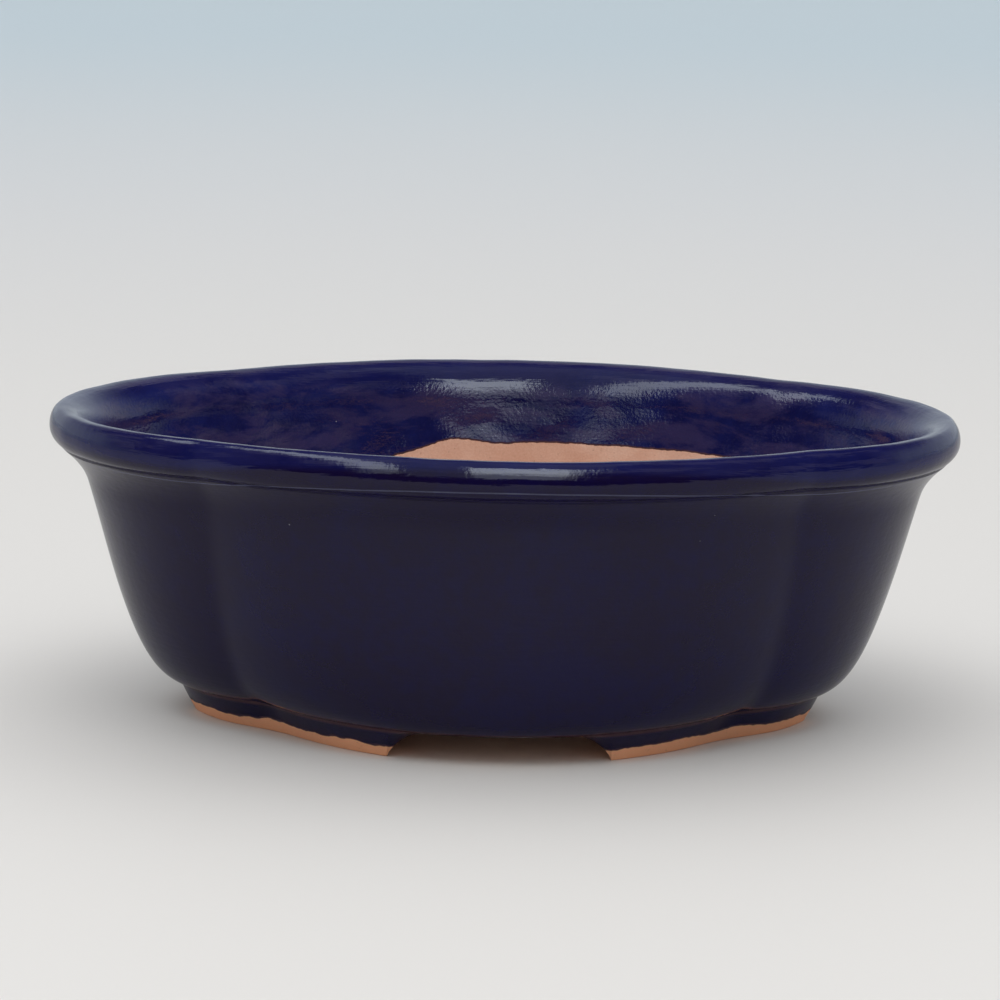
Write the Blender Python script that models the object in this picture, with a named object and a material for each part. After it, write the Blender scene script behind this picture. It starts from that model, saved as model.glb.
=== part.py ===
"""A four-lobed bonsai pot with a rolled lip, drawn as the pieces of clay that it is built from.

A floor slab carries four curved wall panels. A rolled lip strip caps each panel, and four feet
stand under the slab. Panels and strips meet in four upright notches. Every outline in plan is
two broad side lobes and two end lobes, each one arc, with a hollow arc where two lobes meet.

Metres. +X runs along the pot's length, -Y is its front and +Z is up. The origin is the middle
of the ground that the pot stands on.
"""

import bmesh
import bpy
from collections import namedtuple
from math import acos, atan2, cos, hypot, pi, radians, sin, sqrt

# Outer size, over the lip's widest line.
LENGTH = 0.310
WIDTH = 0.240
HEIGHT = 0.105

# The rim hangs a little lower at its two ends than in its middle, as a fired pot's does.
RIM_SAG = 0.0012

# Notches at the lip's widest line, measured in from the end crown and from the side crown.
LIP_NOTCH_FROM_END = 0.0535
LIP_NOTCH_FROM_SIDE = 0.0365
LIP_NOTCH_RADIUS = 0.003

# Lip strip: a roll with its crest inside its widest line, and a lap that hides the wall's top.
LIP_UPPER = 0.0066
LIP_LOWER = 0.0070
CREST_SET_IN = 0.004
LIP_EDGE_SET_IN = 0.0064

# Wall panels: set in under the lip, and leaning in to a smaller base.
WALL = 0.007
WALL_SET_IN = 0.0095
WALL_TONGUE = 0.0062
END_LEAN = 0.0362
SIDE_LEAN = 0.0198
BELLY = 0.44
FLARE = (0.61, 0.41)

# Notches at the base of the wall, measured in the same way.
BASE_NOTCH_FROM_END = 0.0328
BASE_NOTCH_FROM_SIDE = 0.0454
BASE_NOTCH_RADIUS = 0.018

# Floor slab: a thick middle inside the walls, and a thinner rebated edge that they stand on.
FLOOR = 0.008
FLOOR_EDGE = 0.0053
DRAIN_HOLE = 0.022
DRAIN_SPACING = 0.094
WIRE_HOLE = 0.005
WIRE_SPACING_X = 0.050
WIRE_SPACING_Y = 0.060

# Feet: one under each notch, left when two arches are cut through the foot ring. The ring's top is
# a little wider than the base, so its set-in is negative. An arch's corner springs from the ground
# at an angle in degrees, and bends in by its shoulder.
FOOT_HEIGHT = 0.010
FOOT_WIDTH = 0.014
FOOT_TOP_SET_IN = -0.0012
FOOT_BOTTOM_SET_IN = 0.0034
FOOT_EDGE = 0.0009
SIDE_ARCH = 0.0735
SIDE_ARCH_SHOULDER = 0.0195
END_ARCH = 0.024
END_ARCH_SHOULDER = 0.0105
ARCH_SPRING = 15
ARCH_CLEARANCE = 0.0006

# Slip left in every luted joint, so that neighbouring pieces never touch.
SLIP = 0.0003

# A step of a turn that is short enough to give the outline's direction.
NEARBY = 0.001

# Fineness of the curves.
SIDE_STEPS = 8
END_STEPS = 7
NOTCH_STEPS = 3
WALL_STEPS = 9
EDGE_STEPS = 3
ROLL_STEPS = 5
ARCH_STEPS = 8
HOLE_STEPS = 32
HALVINGS = 40
CREASE = 40

# How rows crowd towards the bend at a panel's foot, and how much of a lobe its hollow ends take.
ROW_CROWDING = 1.3
NOTCH_SHARE = 0.14

Outline = namedtuple("Outline", "side_centre side_radius end_centre end_radius notch_radius")


def outline_through(half_length, half_width, notch_x, notch_y, notch_radius):
    """The outline whose lobes pass through their crowns and through the notch point."""
    side_rise = half_width - notch_y
    end_rise = half_length - notch_x
    side_radius = (notch_x**2 + side_rise**2) / (2 * side_rise)
    end_radius = (notch_y**2 + end_rise**2) / (2 * end_rise)
    side_centre = half_width - side_radius
    end_centre = half_length - end_radius
    return Outline(side_centre, side_radius, end_centre, end_radius, notch_radius)


def set_in(outline, depth):
    """The outline moved in by one depth all round, with its arcs' centres where they were."""
    return outline._replace(
        side_radius=outline.side_radius - depth,
        end_radius=outline.end_radius - depth,
        notch_radius=outline.notch_radius + depth,
    )


def between(low, high, share):
    """The outline that lies at this share of the way from low to high."""
    return Outline(*(a + (b - a) * share for a, b in zip(low, high)))


def notch_centre(outline):
    """The centre of the hollow arc that touches both lobes from outside, in the first quarter."""
    apart = hypot(outline.end_centre, outline.side_centre)
    from_side = outline.side_radius + outline.notch_radius
    from_end = outline.end_radius + outline.notch_radius
    along = (from_side**2 - from_end**2 + apart**2) / (2 * apart)
    across = sqrt(from_side**2 - along**2)
    unit_x = outline.end_centre / apart
    unit_y = -outline.side_centre / apart
    x = unit_x * along - unit_y * across
    y = outline.side_centre + unit_y * along + unit_x * across
    return x, y


def quarter_point(outline, share):
    """A point of the first quarter: share 0 is the side crown, 1 the notch, 2 the end crown."""
    x, y = notch_centre(outline)
    side_angle = atan2(y - outline.side_centre, x)
    end_angle = atan2(y, x - outline.end_centre)
    if share <= 1 - NOTCH_SHARE:
        angle = pi / 2 + (side_angle - pi / 2) * share / (1 - NOTCH_SHARE)
        radius = outline.side_radius
        return radius * cos(angle), outline.side_centre + radius * sin(angle)
    if share >= 1 + NOTCH_SHARE:
        angle = end_angle * (2 - share) / (1 - NOTCH_SHARE)
        radius = outline.end_radius
        return outline.end_centre + radius * cos(angle), radius * sin(angle)
    turned = (share - 1 + NOTCH_SHARE) / (2 * NOTCH_SHARE)
    angle = pi + side_angle + (end_angle - side_angle) * turned
    return x + outline.notch_radius * cos(angle), y + outline.notch_radius * sin(angle)


def point_around(outline, turn):
    """A point of the whole outline: turn 0 is the front crown, 1 the right end, 2 the back."""
    quarter = int(turn // 1) % 4
    share = 2 * (turn % 1)
    x, y = quarter_point(outline, share if quarter % 2 == 0 else 2 - share)
    return (x if quarter < 2 else -x), (y if quarter in (1, 2) else -y)


def turns_of_lobe(lobe):
    """Where a lobe's cross-sections stand, from one notch to the next, closest in the notches."""
    steps = SIDE_STEPS if lobe % 2 == 0 else END_STEPS
    arc = [(1 - NOTCH_SHARE) * step / steps for step in range(steps + 1)]
    hollow = [1 - NOTCH_SHARE * (1 - step / NOTCH_STEPS) for step in range(1, NOTCH_STEPS + 1)]
    half = [share / 2 for share in arc + hollow]
    return [lobe - turn for turn in reversed(half[1:])] + [lobe + turn for turn in half]


LIP_LINE = outline_through(
    LENGTH / 2,
    WIDTH / 2,
    LENGTH / 2 - LIP_NOTCH_FROM_END,
    WIDTH / 2 - LIP_NOTCH_FROM_SIDE,
    LIP_NOTCH_RADIUS,
)
WALL_LINE = set_in(LIP_LINE, WALL_SET_IN)
BASE_HALF_LENGTH = LENGTH / 2 - WALL_SET_IN - END_LEAN
BASE_HALF_WIDTH = WIDTH / 2 - WALL_SET_IN - SIDE_LEAN
BASE_LINE = outline_through(
    BASE_HALF_LENGTH,
    BASE_HALF_WIDTH,
    BASE_HALF_LENGTH - BASE_NOTCH_FROM_END,
    BASE_HALF_WIDTH - BASE_NOTCH_FROM_SIDE,
    BASE_NOTCH_RADIUS,
)
WIDEST_Z = HEIGHT - LIP_UPPER
LIP_EDGE_Z = WIDEST_Z - LIP_LOWER
WALL_TOP_Z = LIP_EDGE_Z - SLIP
WALL_FOOT_Z = FOOT_HEIGHT + FLOOR_EDGE + SLIP
TONGUE_TOP_Z = LIP_EDGE_Z + WALL_TONGUE - SLIP


def lean_share(z):
    """How far the wall has opened at a height: a cubic curve that rolls off the floor, then flares."""
    height = (z - FOOT_HEIGHT) / (WALL_TOP_Z - FOOT_HEIGHT)
    low, high = 0.0, 1.0
    for _ in range(HALVINGS):
        t = (low + high) / 2
        if 3 * (1 - t) * t**2 * FLARE[1] + t**3 < height:
            low = t
        else:
            high = t
    return 3 * (1 - t) ** 2 * t * BELLY + 3 * (1 - t) * t**2 * FLARE[0] + t**3


def wall_outline(z):
    return between(BASE_LINE, WALL_LINE, lean_share(z))


def lip_inside(z):
    """How far the inner face of the lip and of the wall's tongue is set in from the widest line."""
    rise = (z - WALL_TOP_Z) / (HEIGHT - WALL_TOP_Z)
    return CREST_SET_IN + (WALL_SET_IN + WALL - CREST_SET_IN) * sqrt(1 - rise**2)


def sag(x, z):
    """How far the rim's sag lowers a point: all of it at the end crowns' crest, none at the floor."""
    share = max(0.0, (z - WALL_FOOT_Z) / (HEIGHT - WALL_FOOT_Z))
    return RIM_SAG * share * (2 * x / LENGTH) ** 2


def wall_section():
    """A wall panel's section as (outline, height): up the outside, over the tongue, down the inside."""
    shares = [(step / WALL_STEPS) ** ROW_CROWDING for step in range(WALL_STEPS + 1)]
    heights = [WALL_FOOT_Z + (WALL_TOP_Z - WALL_FOOT_Z) * share for share in shares]
    tongue = [WALL_TOP_Z + (TONGUE_TOP_Z - WALL_TOP_Z) * share for share in (0.5, 1.0)]
    outside = [(wall_outline(z), z) for z in heights]
    outside += [(WALL_LINE, z) for z in tongue]
    inside = [(set_in(LIP_LINE, lip_inside(z)), z) for z in reversed(tongue)]
    inside += [(set_in(wall_outline(z), WALL), z) for z in reversed(heights)]
    return outside + inside


def lip_section():
    """A lip strip's section: out along its lower edge, round the roll, and down to the tongue's top."""
    lap = set_in(LIP_LINE, WALL_SET_IN - SLIP)
    seat_z = TONGUE_TOP_Z + SLIP
    section = [(lap, seat_z), (lap, LIP_EDGE_Z)]
    for step in range(ROLL_STEPS + 1):
        angle = pi / 2 * step / ROLL_STEPS
        depth = LIP_EDGE_SET_IN * (1 - sin(angle))
        section.append((set_in(LIP_LINE, depth), WIDEST_Z - LIP_LOWER * cos(angle)))
    for step in range(1, ROLL_STEPS + 1):
        angle = pi / 2 * step / ROLL_STEPS
        depth = CREST_SET_IN * (1 - cos(angle))
        section.append((set_in(LIP_LINE, depth), WIDEST_Z + LIP_UPPER * sin(angle)))
    inner_start = acos((seat_z - WALL_TOP_Z) / (HEIGHT - WALL_TOP_Z))
    for step in range(1, ROLL_STEPS + 1):
        z = WALL_TOP_Z + (HEIGHT - WALL_TOP_Z) * cos(inner_start * step / ROLL_STEPS)
        section.append((set_in(LIP_LINE, lip_inside(z)), z))
    return section


def foot_section():
    """The foot ring's section, with its bottom edges eased."""
    top_z = FOOT_HEIGHT - SLIP
    inner = FOOT_BOTTOM_SET_IN + FOOT_WIDTH
    depths_and_heights = (
        (FOOT_TOP_SET_IN, top_z),
        (FOOT_BOTTOM_SET_IN, FOOT_EDGE),
        (FOOT_BOTTOM_SET_IN + FOOT_EDGE, 0.0),
        (inner - FOOT_EDGE, 0.0),
        (inner, FOOT_EDGE),
        (inner, top_z),
    )
    return [(set_in(BASE_LINE, depth), z) for depth, z in depths_and_heights]


def new_object(name, bm, material):
    """Turns the bmesh into a named object with faces outward, smooth sides and crisp edges."""
    bmesh.ops.recalc_face_normals(bm, faces=bm.faces)
    mesh = bpy.data.meshes.new(name)
    bm.to_mesh(mesh)
    bm.free()
    mesh.shade_smooth()
    mesh.set_sharp_from_angle(angle=radians(CREASE))
    if material:
        mesh.materials.append(material)
    obj = bpy.data.objects.new(name, mesh)
    bpy.context.collection.objects.link(obj)
    return obj


def add_loop(bm, points):
    return [bm.verts.new(point) for point in points]


def close_across(bm, loop):
    """Closes a long loop with a ladder of quads, its first half facing its second half turned back."""
    for rung in range(len(loop) // 2 - 1):
        bm.faces.new((loop[rung], loop[rung + 1], loop[-rung - 2], loop[-rung - 1]))


def skin(bm, loops, across=False):
    """Joins each loop of vertices to the next, point to point, and closes the first and the last."""
    for first, second in zip(loops, loops[1:]):
        for corner in range(len(first)):
            bm.faces.new((first[corner - 1], first[corner], second[corner], second[corner - 1]))
    for loop in (loops[0], loops[-1]):
        if across:
            close_across(bm, loop)
        else:
            bm.faces.new(loop)


def swept(name, section, turns, material, across=False):
    """Carries a section round the outline. Each end stops half a slip gap short of its notch."""
    bm = bmesh.new()
    loops = []
    for turn in turns:
        back_off = (turn == turns[0]) - (turn == turns[-1])
        points = []
        for outline, z in section:
            x, y = point_around(outline, turn)
            ahead_x, ahead_y = point_around(outline, turn + NEARBY)
            step = hypot(ahead_x - x, ahead_y - y)
            shift = back_off * SLIP / 2 / step
            points.append((x + (ahead_x - x) * shift, y + (ahead_y - y) * shift, z - sag(x, z)))
        loops.append(add_loop(bm, points))
    skin(bm, loops, across)
    return new_object(name, bm, material)


def cutter(name, points, through):
    """A hidden closed tool: the flat outline pushed along a straight line."""
    bm = bmesh.new()
    far = [tuple(a + b for a, b in zip(point, through)) for point in points]
    skin(bm, [add_loop(bm, points), add_loop(bm, far)])
    obj = new_object(name, bm, None)
    obj.hide_render = True
    obj.display_type = "WIRE"
    return obj


def cut(obj, tool):
    modifier = obj.modifiers.new(tool.name, "BOOLEAN")
    modifier.operation = "DIFFERENCE"
    modifier.solver = "EXACT"
    modifier.object = tool


def floor_slab(material):
    """The slab: its rolled edge rises to the rebate, and its middle stands up inside the walls."""
    edge_z = FOOT_HEIGHT + FLOOR_EDGE
    top_z = FOOT_HEIGHT + FLOOR
    heights = [FOOT_HEIGHT + FLOOR_EDGE * (step / EDGE_STEPS) ** 2 for step in range(EDGE_STEPS + 1)]
    levels = [(wall_outline(z), z) for z in heights]
    levels += [(set_in(wall_outline(z), WALL + SLIP), z) for z in (edge_z, top_z)]
    turns = [turn for lobe in range(4) for turn in turns_of_lobe(lobe)[:-1]]
    bm = bmesh.new()
    rings = [[(*point_around(outline, turn), z) for turn in turns] for outline, z in levels]
    skin(bm, [add_loop(bm, ring) for ring in rings])
    slab = new_object("floor_slab", bm, material)
    hole_bottom = FOOT_HEIGHT - FLOOR / 2
    places = [(side * DRAIN_SPACING / 2, 0.0, DRAIN_HOLE) for side in (-1, 1)]
    for x in (-1, 1):
        places += [(x * WIRE_SPACING_X / 2, y * WIRE_SPACING_Y / 2, WIRE_HOLE) for y in (-1, 1)]
    for index, (x, y, width) in enumerate(places):
        angles = [2 * pi * step / HOLE_STEPS for step in range(HOLE_STEPS)]
        ring = [(x + width / 2 * cos(a), y + width / 2 * sin(a), hole_bottom) for a in angles]
        cut(slab, cutter(f"hole_cutter_{index}", ring, (0.0, 0.0, 2 * FLOOR)))


def arch_profile(width, shoulder):
    """The arch's opening as (sideways, height): an elliptic corner that springs from the ground."""
    rise = FOOT_HEIGHT + ARCH_CLEARANCE
    spring = radians(ARCH_SPRING)
    corner = [spring + (pi / 2 - spring) * step / ARCH_STEPS for step in range(ARCH_STEPS + 1)]
    height = rise / (1 - sin(spring))
    reach = shoulder / cos(spring)
    right = [(width / 2, -rise)]
    for angle in corner:
        inward = reach * (cos(spring) - cos(angle))
        right.append((width / 2 - inward, height * (sin(angle) - sin(spring))))
    return right + [(-sideways, z) for sideways, z in reversed(right)]


def feet(material):
    """Four lengths of the foot ring, one to a quarter, with both arches cut through them."""
    side_points = [(x, -WIDTH / 2, z) for x, z in arch_profile(SIDE_ARCH, SIDE_ARCH_SHOULDER)]
    end_points = [(-LENGTH / 2, y, z) for y, z in arch_profile(END_ARCH, END_ARCH_SHOULDER)]
    side_tool = cutter("side_arch_cutter", side_points, (0.0, WIDTH, 0.0))
    end_tool = cutter("end_arch_cutter", end_points, (LENGTH, 0.0, 0.0))
    names = ("foot_front_right", "foot_back_right", "foot_back_left", "foot_front_left")
    for quarter, name in enumerate(names):
        start = [turn for turn in turns_of_lobe(quarter) if turn >= quarter]
        end = [turn for turn in turns_of_lobe(quarter + 1) if turn <= quarter + 1]
        foot = swept(name, foot_section(), start + end[1:], material)
        cut(foot, side_tool)
        cut(foot, end_tool)


def ceramic(name, colour, roughness):
    material = bpy.data.materials.new(name)
    material.use_nodes = True
    shader = material.node_tree.nodes["Principled BSDF"]
    shader.inputs["Base Color"].default_value = (*colour, 1.0)
    shader.inputs["Roughness"].default_value = roughness
    shader.inputs["Metallic"].default_value = 0.0
    material.diffuse_color = (*colour, 1.0)
    return material


def main():
    for obj in list(bpy.data.objects):
        bpy.data.objects.remove(obj)
    clay = ceramic("bare_clay", (0.62, 0.36, 0.22), 0.85)
    glaze = ceramic("cobalt_glaze", (0.012, 0.014, 0.10), 0.12)
    floor_slab(clay)
    for lobe, side in enumerate(("front", "right", "back", "left")):
        swept(f"wall_{side}", wall_section(), turns_of_lobe(lobe), glaze, across=True)
        swept(f"lip_{side}", lip_section(), turns_of_lobe(lobe), glaze)
    feet(glaze)


main()
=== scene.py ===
# %% [markdown]
# # A cobalt-glazed bonsai pot
#
# The object is a low stoneware bonsai pot. In plan it has four soft lobes, its wall flares out to
# a rolled lip, and it stands on four feet. It was luted together from slabs of clay, glazed with
# a glossy cobalt glaze and fired once. This lesson builds the fired surface over the plain
# solids of the design, piece by piece, and then makes its glaze and its bare clay.
#
# The first cell loads the plain solids. They stay where they are, and each new piece takes the
# place of one of them.

# %% Load the plain solids
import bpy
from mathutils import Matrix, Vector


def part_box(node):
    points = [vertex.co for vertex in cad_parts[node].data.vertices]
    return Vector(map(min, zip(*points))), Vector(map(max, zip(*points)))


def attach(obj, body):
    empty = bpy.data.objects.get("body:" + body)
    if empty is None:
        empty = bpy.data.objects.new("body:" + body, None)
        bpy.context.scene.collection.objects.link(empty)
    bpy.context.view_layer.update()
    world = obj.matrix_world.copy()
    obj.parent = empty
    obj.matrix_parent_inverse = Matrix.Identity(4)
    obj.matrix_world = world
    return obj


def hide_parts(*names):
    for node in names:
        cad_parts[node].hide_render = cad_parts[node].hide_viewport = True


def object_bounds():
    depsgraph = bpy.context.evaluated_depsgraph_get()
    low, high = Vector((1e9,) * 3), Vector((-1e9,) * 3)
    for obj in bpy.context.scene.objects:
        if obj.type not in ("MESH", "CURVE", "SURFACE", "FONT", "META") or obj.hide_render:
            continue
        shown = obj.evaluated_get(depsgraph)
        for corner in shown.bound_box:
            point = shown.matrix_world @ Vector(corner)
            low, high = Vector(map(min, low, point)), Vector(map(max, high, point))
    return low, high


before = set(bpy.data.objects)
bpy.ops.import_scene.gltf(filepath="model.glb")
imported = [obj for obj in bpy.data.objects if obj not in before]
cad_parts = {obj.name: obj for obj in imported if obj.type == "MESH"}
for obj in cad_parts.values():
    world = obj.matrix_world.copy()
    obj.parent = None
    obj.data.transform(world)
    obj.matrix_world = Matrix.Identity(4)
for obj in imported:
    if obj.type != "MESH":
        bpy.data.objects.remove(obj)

cad_box = [list(corner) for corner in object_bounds()]
print("plain solids:", len(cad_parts), "box in metres:", cad_box)

# %% [markdown]
# ## The plan of the pot
#
# The real potter draws round a template made with a compass: a broad arc for each long side, a
# tighter arc for each end, and a small hollow arc in each of the four notches. Five numbers
# describe such an outline, so it could be drawn as curve objects, but here it is worked out with
# numpy. That way one formula gives every level of the pot, from the foot to the lip, and
# neighbouring pieces share exactly the same edge.

# %% Outlines of five numbers
from math import cos, pi, radians, sin, sqrt
from types import SimpleNamespace

import bpy
import numpy as np
from mathutils import Euler, Matrix, Vector
from mathutils.geometry import tessellate_polygon

MM = 0.001
SET_IN = np.array([0.0, -1.0, 0.0, -1.0, 1.0])


def outline_through(half_length, half_width, from_end, from_side, notch_radius):
    """Side arc centre and radius, end arc centre and radius, and hollow radius, as one array.

    Each arc passes through its crown and through the notch. An arc that rises by h over a half
    chord c has the radius (c*c + h*h) / 2h.
    """
    notch_x, notch_y = half_length - from_end, half_width - from_side
    side_radius = (notch_x**2 + from_side**2) / (2 * from_side)
    end_radius = (notch_y**2 + from_end**2) / (2 * from_end)
    side_centre, end_centre = half_width - side_radius, half_length - end_radius
    return np.array([side_centre, side_radius, end_centre, end_radius, notch_radius])


HALF_LENGTH = cad_box[1][0]
HALF_WIDTH = cad_box[1][1]
RIM_Z = cad_box[1][2]
WALL_SET_IN = 9.5 * MM
END_LEAN, SIDE_LEAN = 36.2 * MM, 19.8 * MM
LIP_LINE = outline_through(HALF_LENGTH, HALF_WIDTH, 53.5 * MM, 36.5 * MM, 3 * MM)
WALL_LINE = LIP_LINE + WALL_SET_IN * SET_IN
BASE_LINE = outline_through(
    HALF_LENGTH - WALL_SET_IN - END_LEAN,
    HALF_WIDTH - WALL_SET_IN - SIDE_LEAN,
    32.8 * MM,
    45.4 * MM,
    18 * MM,
)
print("side and end radii at the lip, mm:", LIP_LINE[[1, 3]] / MM)

# %% [markdown]
# ## Walking round an outline
#
# The potter bends each strip of clay along the template's line, from one notch to the next. The
# grid of the body does the same: its columns are spread by the length walked along each lobe, and
# every level has the same number of them. Curve objects could be sampled instead, but their points
# would not line up from one level to the next.

# %% Columns round the pot
LOBE = 240
RING = 4 * LOBE


def notch_centres(outlines):
    """Where the hollow arc is centred: the point at side radius + hollow radius from one lobe's
    centre and at end radius + hollow radius from the other's. Also the two angles that meet there.
    """
    side_y, side_r, end_x, end_r, hollow_r = outlines.T
    apart = np.hypot(end_x, side_y)
    along = ((side_r + hollow_r) ** 2 - (end_r + hollow_r) ** 2 + apart**2) / (2 * apart)
    across = np.sqrt((side_r + hollow_r) ** 2 - along**2)
    x = (end_x * along + side_y * across) / apart
    y = side_y + (end_x * across - side_y * along) / apart
    return x, y, np.arctan2(y - side_y, x), np.arctan2(y, x - end_x)


def half_lobe(outlines, share, lobe_is_side):
    """Points of the first quarter, at this share of the walk from a lobe's crown to the notch.

    The walk is measured along the lobe's arc and then along half of the hollow arc.
    """
    side_y, side_r, end_x, end_r, hollow_r = outlines.T
    x, y, side_angle, end_angle = notch_centres(outlines)
    radius = side_r if lobe_is_side else end_r
    opened = pi / 2 - side_angle if lobe_is_side else end_angle
    arc = radius * opened
    walked = share * (arc + hollow_r * (end_angle - side_angle) / 2)
    past = (walked - arc) / hollow_r
    if lobe_is_side:
        angle, hollow = pi / 2 - walked / radius, pi + side_angle + past
        on_arc = radius * np.cos(angle), side_y + radius * np.sin(angle)
    else:
        angle, hollow = walked / radius, pi + end_angle - past
        on_arc = end_x + radius * np.cos(angle), radius * np.sin(angle)
    in_hollow = x + hollow_r * np.cos(hollow), y + hollow_r * np.sin(hollow)
    return [np.where(walked < arc, a, b) for a, b in zip(on_arc, in_hollow)]


def ring_grid(outlines, heights):
    """Points [column, row, xyz]: columns run round the pot from its front left notch, anticlockwise
    from above, and each row is one outline at one height."""
    share = np.abs(np.arange(LOBE) / LOBE * 2 - 1)[:, None]
    sign = np.sign(np.arange(LOBE) - LOBE / 2)[:, None]
    side_x, side_y = half_lobe(outlines, share, True)
    end_x, end_y = half_lobe(outlines, share, False)
    x = np.concatenate([sign * side_x, end_x, -sign * side_x, -end_x])
    y = np.concatenate([-side_y, sign * end_y, side_y, -sign * end_y])
    return np.stack([x, y, np.broadcast_to(heights, x.shape)], axis=-1)


print("columns:", RING, "front left notch of the lip, mm:", ring_grid(LIP_LINE[None], RIM_Z)[0, 0] / MM)

# %% [markdown]
# ## The section of the wall
#
# Cut across, the clay rises off the floor in a tight roll and flares out to the lip. Glaze fills the
# corner under the lip with a cove, and a thin bead of it stands along the edge. From there the
# section goes over the roll of the lip and down the inside to the floor. A lathe could turn it if
# the pot were round. Here each point of the section is an outline at a height, so the section is a
# list of rows, and the body is one grid of columns and rows.

# %% Rows of the section
FOOT_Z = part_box("floor_slab")[0][2]
FLOOR_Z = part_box("floor_slab")[1][2]
WALL = 7 * MM
WIDEST_Z = RIM_Z - 6.6 * MM
LIP_EDGE_Z = WIDEST_Z - 7 * MM
WALL_TOP_Z = LIP_EDGE_Z - 0.3 * MM
SLAB_EDGE_Z = FOOT_Z + 5.3 * MM
LIP_EDGE_SET_IN = 6.4 * MM
CREST_SET_IN = 4 * MM
BELLY, FLARE, FLARE_T = 0.44, 0.61, 0.41
FILLET = 7 * MM
FOOT_TOP_SET_IN = -1.2 * MM
COVE = 5.2 * MM
COVE_HEIGHT = 2.2 * COVE
BEAD = 0.45 * MM
BEAD_SET_IN, BEAD_BELOW = 4.3 * MM, 6.75 * MM
BEAD_END = 38
ROLL_START = 0.40
LEDGE_ROWS, BEAD_ROWS = 7, 11


def wall_outline(z, inset):
    """The wall's outline at a height, set in by a depth.

    Its opening follows a cubic curve: the share 3(1-t)(1-t)t*BELLY + 3(1-t)tt*FLARE + ttt against
    the height 3(1-t)tt*FLARE_T + ttt, both counted from the foot to the top of the wall.
    """
    t = np.linspace(0, 1, 4001)
    rise = 3 * (1 - t) * t**2 * FLARE_T + t**3
    opening = 3 * (1 - t) ** 2 * t * BELLY + 3 * (1 - t) * t**2 * FLARE + t**3
    share = np.interp((z - FOOT_Z) / (WALL_TOP_Z - FOOT_Z), rise, opening)[:, None]
    return BASE_LINE + (WALL_LINE - BASE_LINE) * share + np.reshape(inset, (-1, 1)) * SET_IN


def lip_outline(inset):
    """The lip's widest outline, set in by a depth."""
    return LIP_LINE + np.reshape(inset, (-1, 1)) * SET_IN


def slab_edge_rows():
    """The rolled bottom edge of the body, with its rows closest at the foot, where it is tightest."""
    z = FOOT_Z + (SLAB_EDGE_Z - FOOT_Z) * np.linspace(0, 1, 17)[1:] ** 1.8
    outlines = wall_outline(np.append(FOOT_Z, z), np.append(FOOT_TOP_SET_IN, 0 * z))
    return outlines, np.append(FOOT_Z, z)


def lip_rows():
    """Ledge under the lip, a thin bead of glaze, the lower and upper roll, then the inner slope.

    The bead is a part of a circle, from straight down to BEAD_END degrees up. The lower roll, from
    ROLL_START on, the upper roll and the inner slope are parts of ellipses.
    """
    ledge = np.arange(1, LEDGE_ROWS + 1) / (LEDGE_ROWS + 1)
    bead = np.radians(np.linspace(-90, BEAD_END, BEAD_ROWS))
    lower = np.linspace(ROLL_START, pi / 2, 22)
    roll = np.linspace(0, pi / 2, 24)[1:]
    inner = np.linspace(0, pi / 2, 40)[1:]
    bead_z = WIDEST_Z - BEAD_BELOW
    inset = np.concatenate([
        WALL_SET_IN - COVE + (BEAD_SET_IN - WALL_SET_IN + COVE) * ledge,
        BEAD_SET_IN - BEAD * np.cos(bead),
        LIP_EDGE_SET_IN * (1 - np.sin(lower)),
        CREST_SET_IN * (1 - np.cos(roll)),
        CREST_SET_IN + (WALL_SET_IN + WALL - CREST_SET_IN) * np.sin(inner),
    ])
    z = np.concatenate([
        WALL_TOP_Z + (bead_z - BEAD - WALL_TOP_Z) * ledge,
        bead_z + BEAD * np.sin(bead),
        WIDEST_Z - (WIDEST_Z - LIP_EDGE_Z) * np.cos(lower),
        WIDEST_Z + (RIM_Z - WIDEST_Z) * np.sin(roll),
        WALL_TOP_Z + (RIM_Z - WALL_TOP_Z) * np.cos(inner),
    ])
    return lip_outline(inset), z


def fillet_rows():
    """The quarter round between the inside of the wall and the floor."""
    turn = np.linspace(0, pi / 2, 12)[1:]
    z = FLOOR_Z + FILLET * (1 - np.sin(turn))
    return wall_outline(z, WALL + FILLET * (1 - np.cos(turn))), z


WALL_ROWS = 86
wall_out_z = SLAB_EDGE_Z + (WALL_TOP_Z - SLAB_EDGE_Z) * np.linspace(0, 1, WALL_ROWS + 1)[1:]
wall_in_z = WALL_TOP_Z + (FLOOR_Z + FILLET - WALL_TOP_Z) * np.linspace(0, 1, WALL_ROWS + 1)[1:]
cove = COVE * np.clip(1 - (WALL_TOP_Z - wall_out_z) / COVE_HEIGHT, 0, 1) ** 2
stretches = [
    slab_edge_rows(),
    (wall_outline(wall_out_z, -cove), wall_out_z),
    lip_rows(),
    (wall_outline(wall_in_z, WALL), wall_in_z),
    fillet_rows(),
]
section_outlines = np.concatenate([outlines for outlines, z in stretches])
section_z = np.concatenate([z for outlines, z in stretches])
ENDS = np.cumsum([len(z) for outlines, z in stretches]) - 1
FROM_SLAB, FROM_WALL, FROM_LIP, FROM_INSIDE, LAST = ENDS
print("rows of the section:", len(section_z), "borders:", ENDS)

# %% [markdown]
# ## The hand in the clay
#
# No wall of a hand-built pot is true. The rim sags a little at the ends, the panels swell and
# hollow by a few tenths of a millimetre, the inside keeps the marks of a damp sponge, and the
# glaze rounds every corner. Sculpting by brush could give this, but a sum of sine waves that run
# in many directions does it evenly, and it gives the same pot every time. The corners are rounded
# by averaging neighbouring points, which is what flowing glaze does.

# %% Waves, soft corners and normals
RIM_SAG, RIM_WANDER = 1.2 * MM, 0.14 * MM
PANEL_SWELL, LIP_SWELL = 0.10 * MM, 0.05 * MM
SPONGE_BROAD, SPONGE_FINE = 0.42 * MM, 0.10 * MM


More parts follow.
